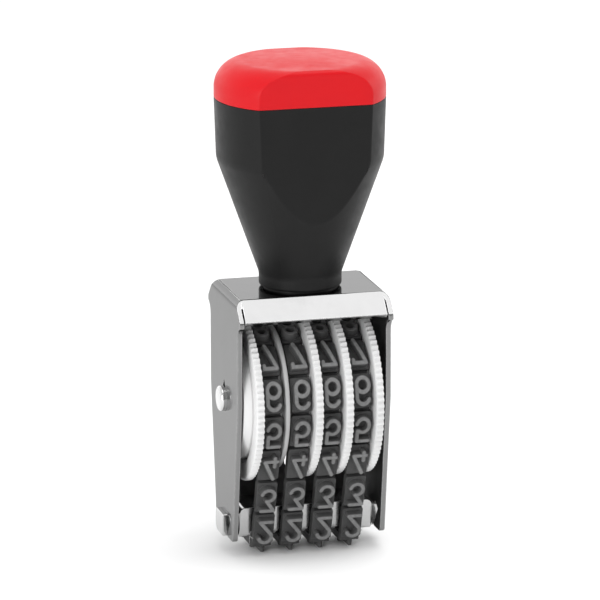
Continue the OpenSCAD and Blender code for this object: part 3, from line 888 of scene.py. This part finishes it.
@dataclass
class DigitShapes:
    """Centre lines of the raised digits and signs, with the stroke's section."""

    half_width: float = 1.14
    low: float = 0.36
    high: float = 4.64
    step: float = 0.5
    lift: float = 0.006
    section: tuple[Point, ...] = (
        (-0.52, 1.7), (-0.36, 2.96), (-0.27, 3.05), (0.27, 3.05), (0.36, 2.96), (0.52, 1.7),
    )
    end_turns: tuple[float, ...] = (0.0, 30.0, 58.0, 84.0)
    mitre_limit: float = 1.5

    def lines(self, digit: str) -> list[tuple[list[Point], bool]]:
        """Gives a digit's strokes.

        Args:
            digit: The digit or sign.

        Returns:
            Centre line of each stroke, and whether it is closed.
        """
        a, b, c = self.half_width, self.low, self.high
        ring = (a, a)
        lower = arc((0, 1.53), (a, 1.17), 0, 360, 28)[:-1]
        tail = [(-a, 1.6), (-a, c - a)] + arc((0, c - a), ring, 180, 22, 12)[1:]
        middle = 2.56
        shapes = {
            "0": [(arc((0, c - a), ring, 0, 180, 12) + arc((0, b + a), ring, 180, 360, 12), True)],
            "1": [([(0.28, b), (0.28, c)], False), ([(0.28, c), (-0.75, 3.75)], False)],
            "2": [(arc((0, c - a), ring, 165, -32, 14) + [(-1.02, b)], False), ([(-1.02, b), (a, b)], False)],
            "3": [
                ([(-a, c), (a - 0.05, c)], False), ([(a - 0.05, c), (-0.22, 2.64)], False),
                (arc((0, b + a), ring, 104, -165, 20), False),
            ],
            "4": [
                ([(-a, 1.06), (0.5, c)], False), ([(-a, 1.06), (a, 1.06)], False),
                ([(0.66, b), (0.66, 2.1)], False),
            ],
            "5": [
                ([(-0.95, c), (a, c)], False), ([(-0.95, c), (-0.95, 2.5)], False),
                ([(-0.95, 2.5)] + arc((0, 1.6), (a, 1.24), 130, -165, 20), False),
            ],
            "6": [(lower, True), (tail, False)],
            "7": [([(-a, 4.1), (-a, c), (a, c)], False), ([(a, c), (-0.42, b)], False)],
            "8": [
                (arc((0, (b + middle) / 2), (a, (middle - b) / 2), 0, 360, 26)[:-1], True),
                (arc((0, (c + middle) / 2), (a - 0.08, (c - middle) / 2), 0, 360, 26)[:-1], True),
            ],
            ".": [([(-0.1, b + 0.1), (0.1, b + 0.1)], False)],
            "-": [([(-0.9, 2.5), (0.9, 2.5)], False)],
            "/": [([(-a + 0.2, b), (a - 0.2, c)], False)],
            "+": [([(-0.95, 2.5), (0.95, 2.5)], False), ([(0, 1.55), (0, 3.45)], False)],
        }
        if digit == "9":
            return [([(-u, b + c - v) for u, v in line], shut) for line, shut in self.lines("6")]
        return shapes.get(digit, [])

    def stepped(self, line: Sequence[Point], closed: bool) -> list[Vector]:
        """Adds points to a centre line where they are further apart than the step.

        Args:
            line: Centre line in millimetres.
            closed: Whether the line is a closed ring.

        Returns:
            The centre line with the points added.
        """
        corners = [Vector(point) for point in line]
        out = []
        ends = corners[1:] + corners[:1] if closed else corners[1:]
        for start, end in zip(corners, ends):
            count = max(1, math.ceil((end - start).length / self.step))
            out += [start.lerp(end, i / count) for i in range(count)]
        return out if closed else out + [corners[-1]]

    def add_stroke(self, bm: BMesh, line: Sequence[Point], closed: bool, drop: float) -> None:
        """Lofts the stroke's section along a centre line.

        Args:
            bm: Mesh that receives the stroke, with X across, Y up the digit and Z off the band.
            line: Centre line in millimetres.
            closed: Whether the line is a closed ring.
            drop: How far the top is lowered, so that crossing strokes have no faces in one plane.
        """
        points = self.stepped(line, closed)
        count = len(points)
        rings = []
        for i, point in enumerate(points):
            before = points[i - 1] if closed or i else None
            after = points[(i + 1) % count] if closed or i < count - 1 else None
            steps = [(point - before).normalized()] if before else []
            steps += [(after - point).normalized()] if after else []
            along = sum(steps, Vector((0, 0))).normalized()
            mitre = 1 / max(along.dot(steps[0]), 1 / self.mitre_limit)
            side = Vector((along.y, -along.x)) * mitre
            at_end = before is None or after is None
            turns = self.end_turns if at_end else (0.0,)
            outwards = -along if before is None else along
            set_of = []
            for degrees in turns:
                turn = math.radians(degrees)
                ring = []
                for reach, height in self.section:
                    spot = point + side * reach * math.cos(turn) + outwards * abs(reach) * math.sin(turn)
                    ring.append(Vector((spot.x, spot.y, height - drop)) * MM)
                set_of.append(ring)
            rings += reversed(set_of) if before is None else set_of
        loft(bm, rings, closed)

    def add_digit(self, bm: BMesh, digit: str) -> None:
        """Adds all strokes of a digit to a mesh."""
        for i, (line, closed) in enumerate(self.lines(digit)):
            self.add_stroke(bm, line, closed, i * self.lift)


@dataclass
class DigitBands:
    """The four rubber bands: a belt with fifteen blocks, each with a raised digit or sign."""

    finish: dict[Slot, bpy.types.Material]
    digits: str = "1234567890.-/+ "
    count: int = 4
    first_place: float = 0.7
    digit_height: float = 5.0
    belt_half: float = 1.65
    belt: float = 0.7
    belt_steps: int = 132
    block_half: float = 1.85
    block_length: float = 6.05
    block_low: float = 0.3
    block_top: float = 1.8
    corner: float = 0.42
    corner_steps: int = 4
    top_edge: float = 0.12
    bend_step: float = 0.55
    top_highlight_depth: float = 0.12
    shapes: DigitShapes = field(default_factory=DigitShapes)

    def add_block(self, bm: BMesh) -> None:
        """Adds a flat block with rounded corners, cut across so that it can bend.

        Args:
            bm: Mesh that receives the block, with X across, Y up the digit and Z off the band.
        """
        middle = (self.block_low + self.block_top) / 2
        size = (2 * self.block_half, self.block_length, self.block_top - self.block_low)
        at = Matrix.Translation(Vector((0, self.digit_height / 2, middle)) * MM)
        made = bmesh.ops.create_cube(bm, size=MM, matrix=at @ Matrix.Diagonal((*size, 1)))["verts"]
        edges = {e for v in made for e in v.link_edges}
        upright = [e for e in edges if (e.verts[0].co - e.verts[1].co).xy.length < WELD]
        round_edges(bm, upright, self.corner, self.corner_steps)
        top = self.block_top * MM - WELD
        rim = [e for e in bm.edges if all(v.co.z > top for v in e.verts)]
        round_edges(bm, rim, self.top_edge)
        reach = self.block_length / 2 - self.corner
        cuts = math.ceil(2 * reach / self.bend_step)
        for i in range(cuts + 1):
            v = self.digit_height / 2 - reach + 2 * reach * i / cuts
            geom = list(bm.verts) + list(bm.edges) + list(bm.faces)
            bmesh.ops.bisect_plane(bm, geom=geom, plane_co=(0, v * MM, 0), plane_no=(0, 1, 0))

    def block_mesh(self, path: BandPath, place: int) -> BMesh:
        """Makes one block with its digit at its place on the band.

        Args:
            path: The band's path.
            place: Number of the place, from the nose up the front.

        Returns:
            The mesh, with the tops of the digits marked for the painted highlight.
        """
        bm = bmesh.new()
        self.add_block(bm)
        self.shapes.add_digit(bm, self.digits[place])
        raised = bm.verts.layers.float.new(TOP_HIGHLIGHT_MASK)
        tallest = max(height for _, height in self.shapes.section)
        middle = place * path.length / len(self.digits) + self.first_place
        for vert in bm.verts:
            u, v, height = vert.co / MM
            # Marks the tops of the digits for the painted highlight, fading out over the top highlight depth.
            vert[raised] = 1.0 - min(1.0, (tallest - height) / self.top_highlight_depth)
            y, z = path.block_spot(middle, self.digit_height / 2 - v, height)
            vert.co = Vector((u, y, z)) * MM
        return bm

    def add_belt(self, bm: BMesh, path: BandPath) -> None:
        """Lofts the belt's section round the band's path.

        Args:
            bm: Mesh that receives the belt.
            path: The band's path.
        """
        section = [(-1, 0.0), (1, 0.0), (1, self.belt), (-1, self.belt)]
        rings = []
        for i in range(self.belt_steps):
            s = path.length * i / self.belt_steps
            places = [(side * self.belt_half, *path.spot(s, height)) for side, height in section]
            rings.append([Vector(place) * MM for place in places])
        loft(bm, rings, closed=True)

    def build(self) -> None:
        """Makes the four bands, alike but for their place along the axle."""
        path = BandPath(axle_line()[0])
        bm = bmesh.new()
        bm.verts.layers.float.new(TOP_HIGHLIGHT_MASK)
        self.add_belt(bm, path)
        for place in range(len(self.digits)):
            block = self.block_mesh(path, place)
            mesh = bpy.data.meshes.new("block")
            block.to_mesh(mesh)
            block.free()
            bm.from_mesh(mesh)
            bpy.data.meshes.remove(mesh)
        for number in range(1, self.count + 1):
            low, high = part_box(f"band_{number}")
            band = bm.copy()
            bmesh.ops.translate(band, verts=band.verts, vec=((low.x + high.x) / 2, 0, 0))
            make_piece(
                f"digit_band_{number}", band, Body.STAMP, Slot.RUBBER, self.finish[Slot.RUBBER],
                [f"band_{number}"],
            )
        bm.free()


@dataclass
class WaistedHandle:
    """The handle: a waisted black grip with a flat at the front and the rear, and a red cap on its collar.

    The shoulder and the collar are a height and a radius.
    """

    finish: dict[Slot, bpy.types.Material]
    foot_radius: float = 6.65
    neck_radius: float = 7.35
    neck_z: float = 48.26
    cone_z: float = 50.51
    shoulder: Point = (71.36, 14.82)
    collar: Point = (82.16, 15.17)
    flat_y: float = 11.2
    steps: int = 144
    neck_edge: float = 0.4
    waist_radius: float = 3.0
    shoulder_radius: float = 5.0
    crease: float = 0.25
    seam_edge: float = 0.2
    edge_steps: int = 3
    waist_steps: int = 8
    rim_turn: float = 60.0
    crease_turn: float = 4.0
    grip_smooth: float = 24.0
    cap_lap: float = 1.0
    cap_corner: float = 0.7
    cap_rim: float = 4.8
    sliver: float = 0.02
    crown: float = 0.4
    rim_steps: int = 22
    crown_steps: int = 7
    arc_steps: int = 32
    corner_steps: int = 6
    flat_steps: int = 16

    def cut_flats(self, bm: BMesh) -> None:
        """Cuts the mesh along the two flats and closes the cuts.

        Args:
            bm: Mesh of the spun grip.
        """
        for side in (-1, 1):
            geom = list(bm.verts) + list(bm.edges) + list(bm.faces)
            cut = bmesh.ops.bisect_plane(
                bm, geom=geom, plane_co=(0, side * self.flat_y * MM, 0), plane_no=(0, side, 0),
                clear_outer=True,
            )["geom_cut"]
            bmesh.ops.contextual_create(bm, geom=[e for e in cut if isinstance(e, BMEdge)])

    def on_flats(self, face: BMFace) -> bool:
        """Tells whether a face lies on one of the flats."""
        return math.isclose(abs(face.normal.y), 1, abs_tol=1e-4, rel_tol=0)

    def seam_rim(self, bm: BMesh) -> list[BMEdge]:
        """Finds the edges round the grip's top, where the cap rests.

        Args:
            bm: Mesh of the grip.

        Returns:
            The edges.
        """
        seam = self.collar[0] * MM - WELD
        top = [e for e in bm.edges if all(v.co.z > seam for v in e.verts)]
        return [e for e in top if e.calc_face_angle(0) > math.radians(self.rim_turn)]

    def build(self) -> None:
        """Makes the grip and the cap."""
        self.build_grip(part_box("handle_grip")[0].z / MM)
        self.build_cap(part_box("handle_cap")[1].z / MM)

    def build_grip(self, foot_z: float) -> None:
        """Spins the grip's outline, cuts its flats and rounds its edges.

        Args:
            foot_z: Height of the grip's foot in millimetres.
        """
        profile = softened(
            [
                (foot_z, 0.0), (foot_z, self.foot_radius), (self.neck_z, self.foot_radius),
                (self.neck_z, self.neck_radius), (self.cone_z, self.neck_radius), self.shoulder,
                self.collar, (self.collar[0], 0.0),
            ],
            {3: self.neck_edge, 4: self.waist_radius, 5: self.shoulder_radius}, self.waist_steps,
        )
        bm = bmesh.new()
        spun(bm, profile, self.steps, closed=False)
        self.cut_flats(bm)
        bmesh.ops.recalc_face_normals(bm, faces=bm.faces)
        rim = self.seam_rim(bm)
        least = math.radians(self.crease_turn)
        creases = [e for e in bm.edges if sum(self.on_flats(f) for f in e.link_faces) == 1]
        creases = [e for e in creases if e not in rim and e.calc_face_angle() > least]
        round_edges(bm, creases, self.crease, self.edge_steps)
        round_edges(bm, self.seam_rim(bm), self.seam_edge, self.edge_steps)
        make_piece(
            "grip", bm, Body.STAMP, Slot.BLACK, self.finish[Slot.BLACK], ["handle_grip"], self.grip_smooth
        )

    def cap_outline(self, reach: float, flat: float, height: float) -> list[Vector]:
        """Gives a ring of the cap: two round ends and two flats, with rounded corners.

        Args:
            reach: Radius of the round ends.
            flat: Distance of the flats from the middle.
            height: Height of the ring, all in millimetres.

        Returns:
            The ring's corners in metres.
        """
        corner = (self.cap_corner, self.cap_corner)
        deep = flat - self.cap_corner
        turn = math.degrees(math.asin(min(deep / (reach - self.cap_corner), 1)))
        across = math.sqrt(max((reach - self.cap_corner) ** 2 - deep**2, 0))
        spots: list[Point] = []
        for side, sign in ((0, 1), (180, -1)):
            spots += arc((0, 0), (reach, reach), side - turn, side + turn, self.arc_steps)[:-1]
            spots += arc((sign * across, sign * deep), corner, side + turn, side + 90, self.corner_steps)[:-1]
            edge = sign * (deep + self.cap_corner)
            spots += [
                (sign * across * (1 - 2 * i / self.flat_steps), edge) for i in range(self.flat_steps)
            ]
            spots += arc(
                (-sign * across, sign * deep), corner, side + 90, side + 180 - turn, self.corner_steps
            )[:-1]
        return [Vector((x, y, height)) * MM for x, y in spots]

    def build_cap(self, top_z: float) -> None:
        """Makes the cap from rings, up its side, round its top edge and over its crown.

        Args:
            top_z: Height of the cap's top in millimetres.
        """
        seam_z, side = self.collar
        inner = side - self.cap_rim
        rim_z = top_z - self.crown
        profile = softened(
            [(side - self.cap_lap, seam_z), (side, seam_z), (side, rim_z), (inner, rim_z)],
            {1: self.seam_edge, 2: self.cap_rim - self.sliver / 2}, self.rim_steps,
        )
        edge = self.flat_y - inner
        rings = []
        for reach, height in profile:
            over = min(max(height - rim_z + edge, 0), edge)
            flat = self.flat_y - edge + math.sqrt(edge**2 - over**2) - max(inner - reach, 0)
            if height < seam_z + self.seam_edge:
                flat = self.flat_y - (side - reach)
            rings.append(self.cap_outline(reach, min(flat, reach - self.sliver), height))
        for step in range(1, self.crown_steps):
            share = step / self.crown_steps
            reach = inner * (1 - share)
            height = top_z - self.crown * (1 + math.cos(math.pi * share)) / 2
            rings.append(self.cap_outline(reach, reach - self.sliver, height))
        bm = bmesh.new()
        loft(bm, rings)
        make_piece("cap", bm, Body.STAMP, Slot.RED, self.finish[Slot.RED], ["handle_cap"])


# Studio


@dataclass
class Softbox:
    """A plain rectangular light that shows in glossy surfaces."""

    name: str
    place: tuple[float, float, float]
    size: Point
    radiance: float
    aim: tuple[float, float, float] = (0.0, 0.0, 0.05)

    def build(self) -> None:
        """Places the light so that its face has the given radiance."""
        light = bpy.data.lights.new(self.name, "AREA")
        light.shape = "RECTANGLE"
        light.size, light.size_y = self.size
        light.energy = self.radiance * math.pi * self.size[0] * self.size[1]
        lamp = bpy.data.objects.new(self.name, light)
        lamp.location = self.place
        lamp.rotation_euler = (Vector(self.aim) - Vector(self.place)).to_track_quat("-Z", "Y").to_euler()
        bpy.context.scene.collection.objects.link(lamp)


@dataclass
class Studio:
    """The pale floor, the surrounding light, the softboxes and the camera."""

    target: tuple[float, float, float] = (-0.03, 0.0, 45.125)
    bearing: float = 14.662
    elevation: float = 13.929
    distance: float = 911.8
    roll: float = -0.0836
    lens: float = 308.4
    sensor: float = 36.0
    floor_half: float = 12.0
    floor_colour: Colour = grey(0.92)
    front_glow: float = 0.4
    rear_glow: float = 1.6
    over_glow: float = 0.8
    seen_glow: float = 1.05
    glow_span: float = 0.8
    softboxes: tuple[Softbox, ...] = (
        Softbox("top_light", (0.2, -0.15, 1.1), (0.8, 0.8), 2.9),
        Softbox("left_light", (-0.8, -0.65, 0.26), (0.6, 0.5), 4.9),
        Softbox("right_light", (1.0, 0.05, 0.3), (0.5, 0.5), 2.0),
    )

    def build(self) -> None:
        """Makes the floor, lights and camera."""
        self.lay_floor()
        self.light_room()
        for box in self.softboxes:
            box.build()
        self.place_camera()
        bpy.context.scene.view_settings.view_transform = "Standard"

    def lay_floor(self) -> None:
        """Lays the floor under the stamp, out of its box."""
        bm = bmesh.new()
        bmesh.ops.create_grid(bm, x_segments=1, y_segments=1, size=self.floor_half)
        mesh = bpy.data.meshes.new("floor")
        bm.to_mesh(mesh)
        bm.free()
        paint = bpy.data.materials.new("pale floor")
        paint.use_nodes = True
        shader = paint.node_tree.nodes["Principled BSDF"]
        shader.inputs["Base Color"].default_value = self.floor_colour
        shader.inputs["Roughness"].default_value = 0.9
        shader.inputs["Specular IOR Level"].default_value = 0.1
        mesh.materials.append(paint)
        floor = bpy.data.objects.new("floor", mesh)
        bpy.context.scene.collection.objects.link(floor)

    def light_room(self) -> None:
        """Makes the room's light: bright behind and overhead, dimmer in front, and white behind the stamp."""
        world = bpy.data.worlds.new("room")
        bpy.context.scene.world = world
        world.use_nodes = True
        world.node_tree.nodes.clear()
        desk = Desk(world.node_tree)
        way = desk.put("ShaderNodeTexCoord").outputs["Generated"]
        split = desk.put("ShaderNodeSeparateXYZ", {"Vector": way})
        span = (-self.glow_span, self.glow_span)
        depth = desk.spread(split.outputs["Y"], self.front_glow, self.rear_glow, span)
        rise = desk.spread(split.outputs["Z"], 0.0, 1.0)
        mixed = {"0": rise, "2": depth, "3": self.over_glow}
        glow = desk.put("ShaderNodeMix", mixed, data_type="FLOAT").outputs[0]
        seen = desk.put("ShaderNodeLightPath").outputs["Is Camera Ray"]
        mixed = {"0": seen, "2": glow, "3": self.seen_glow}
        strength = desk.put("ShaderNodeMix", mixed, data_type="FLOAT").outputs[0]
        back = desk.put("ShaderNodeBackground", {"Color": grey(1.0), "Strength": strength})
        output = desk.put("ShaderNodeOutputWorld")
        desk.feed(output.inputs["Surface"], back.outputs["Background"])

    def place_camera(self) -> None:
        """Places the camera at its bearing and elevation from the target."""
        turn, tilt = math.radians(self.bearing), math.radians(self.elevation)
        forward = Vector((math.sin(turn) * math.cos(tilt), math.cos(turn) * math.cos(tilt), -math.sin(tilt)))
        data = bpy.data.cameras.new("camera")
        data.lens = self.lens
        data.sensor_width = self.sensor
        data.clip_start = 0.01
        camera = bpy.data.objects.new("camera", data)
        camera.location = (Vector(self.target) - forward * self.distance) * MM
        straight = forward.to_track_quat("-Z", "Y").to_matrix()
        camera.rotation_euler = (straight @ Matrix.Rotation(math.radians(self.roll), 3, "Z")).to_euler()
        bpy.context.scene.collection.objects.link(camera)
        bpy.context.scene.camera = camera


def main() -> None:
    logging.basicConfig(level=logging.INFO, format="%(name)s: %(message)s")
    finish = {slot: made.material() for slot, made in FINISHES.items()}
    FoldedFrame(finish).build()
    AxleSet(finish).build()
    ThumbWheel(1, Body.WHEEL_1, finish, side=-1).build()
    ThumbWheel(2, Body.WHEEL_2, finish).build()
    ThumbWheel(3, Body.WHEEL_3, finish).build()
    ThumbWheel(4, Body.WHEEL_4, finish, dished=True).build()
    DigitBands(finish).build()
    WaistedHandle(finish).build()
    Studio().build()


if __name__ == "__main__":
    main()
